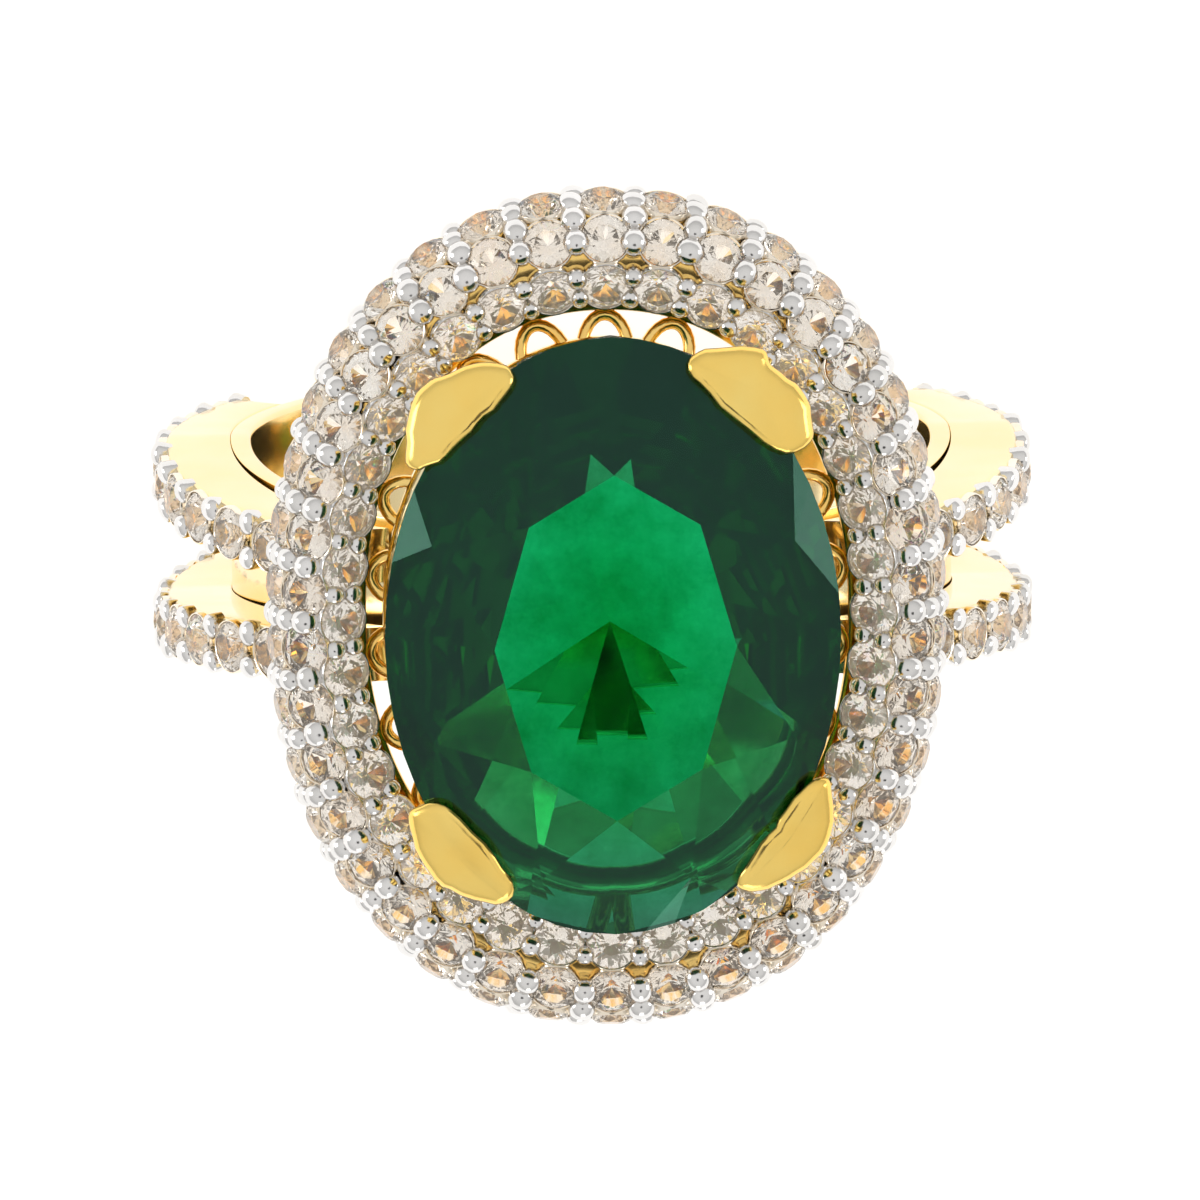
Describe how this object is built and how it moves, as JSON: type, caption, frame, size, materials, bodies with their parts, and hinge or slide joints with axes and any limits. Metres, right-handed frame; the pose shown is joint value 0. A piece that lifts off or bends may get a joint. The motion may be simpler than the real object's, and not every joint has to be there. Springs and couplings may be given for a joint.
{
  "type": "cocktail ring",
  "caption": "Cocktail ring with an oval green centre stone in twin-lobed claws, a domed pave halo and a split pave shank",
  "frame": {"origin": "The centre of the finger hole, half way across the shank.", "axes": "+Y runs along the finger hole, +X across the shank and +Z from the finger to the centre stone."},
  "size_m": [0.0236, 0.0226, 0.0261],
  "materials": {
    "yellow_gold": "high polish yellow gold",
    "rhodium_plated_gold": "rhodium plated setting beads",
    "green_stone": "faceted transparent green stone",
    "white_stones": "faceted colourless stones",
    "champagne_stones": "faceted colourless stones that pick up the gold behind them"
  },
  "bodies": {
    "root": {"finger_band": "yellow_gold", "shank_base": "yellow_gold", "shank_arm_north_east": "yellow_gold", "arm_stones_north_east": "champagne_stones", "arm_beads_north_east": "rhodium_plated_gold", "shank_arm_north_west": "yellow_gold", "arm_stones_north_west": "champagne_stones", "arm_beads_north_west": "rhodium_plated_gold", "shank_arm_south_east": "yellow_gold", "arm_stones_south_east": "champagne_stones", "arm_beads_south_east": "rhodium_plated_gold", "shank_arm_south_west": "yellow_gold", "arm_stones_south_west": "champagne_stones", "arm_beads_south_west": "rhodium_plated_gold", "halo_shell": "yellow_gold", "halo_base_rail": "yellow_gold", "halo_inner_stones": "white_stones", "halo_middle_stones": "champagne_stones", "halo_outer_stones": "champagne_stones", "halo_inner_beads": "rhodium_plated_gold", "halo_crest_beads": "rhodium_plated_gold", "halo_middle_beads": "rhodium_plated_gold", "halo_rim_beads": "rhodium_plated_gold", "gallery_upper_rail": "yellow_gold", "gallery_lower_rail": "yellow_gold", "gallery_posts": "yellow_gold", "gallery_arches": "yellow_gold", "seat_rail": "yellow_gold", "seat_struts": "yellow_gold", "bridge_posts": "yellow_gold", "claw_north_east": "yellow_gold", "claw_north_west": "yellow_gold", "claw_south_east": "yellow_gold", "claw_south_west": "yellow_gold", "centre_stone": "green_stone"}
  },
  "joints": []
}
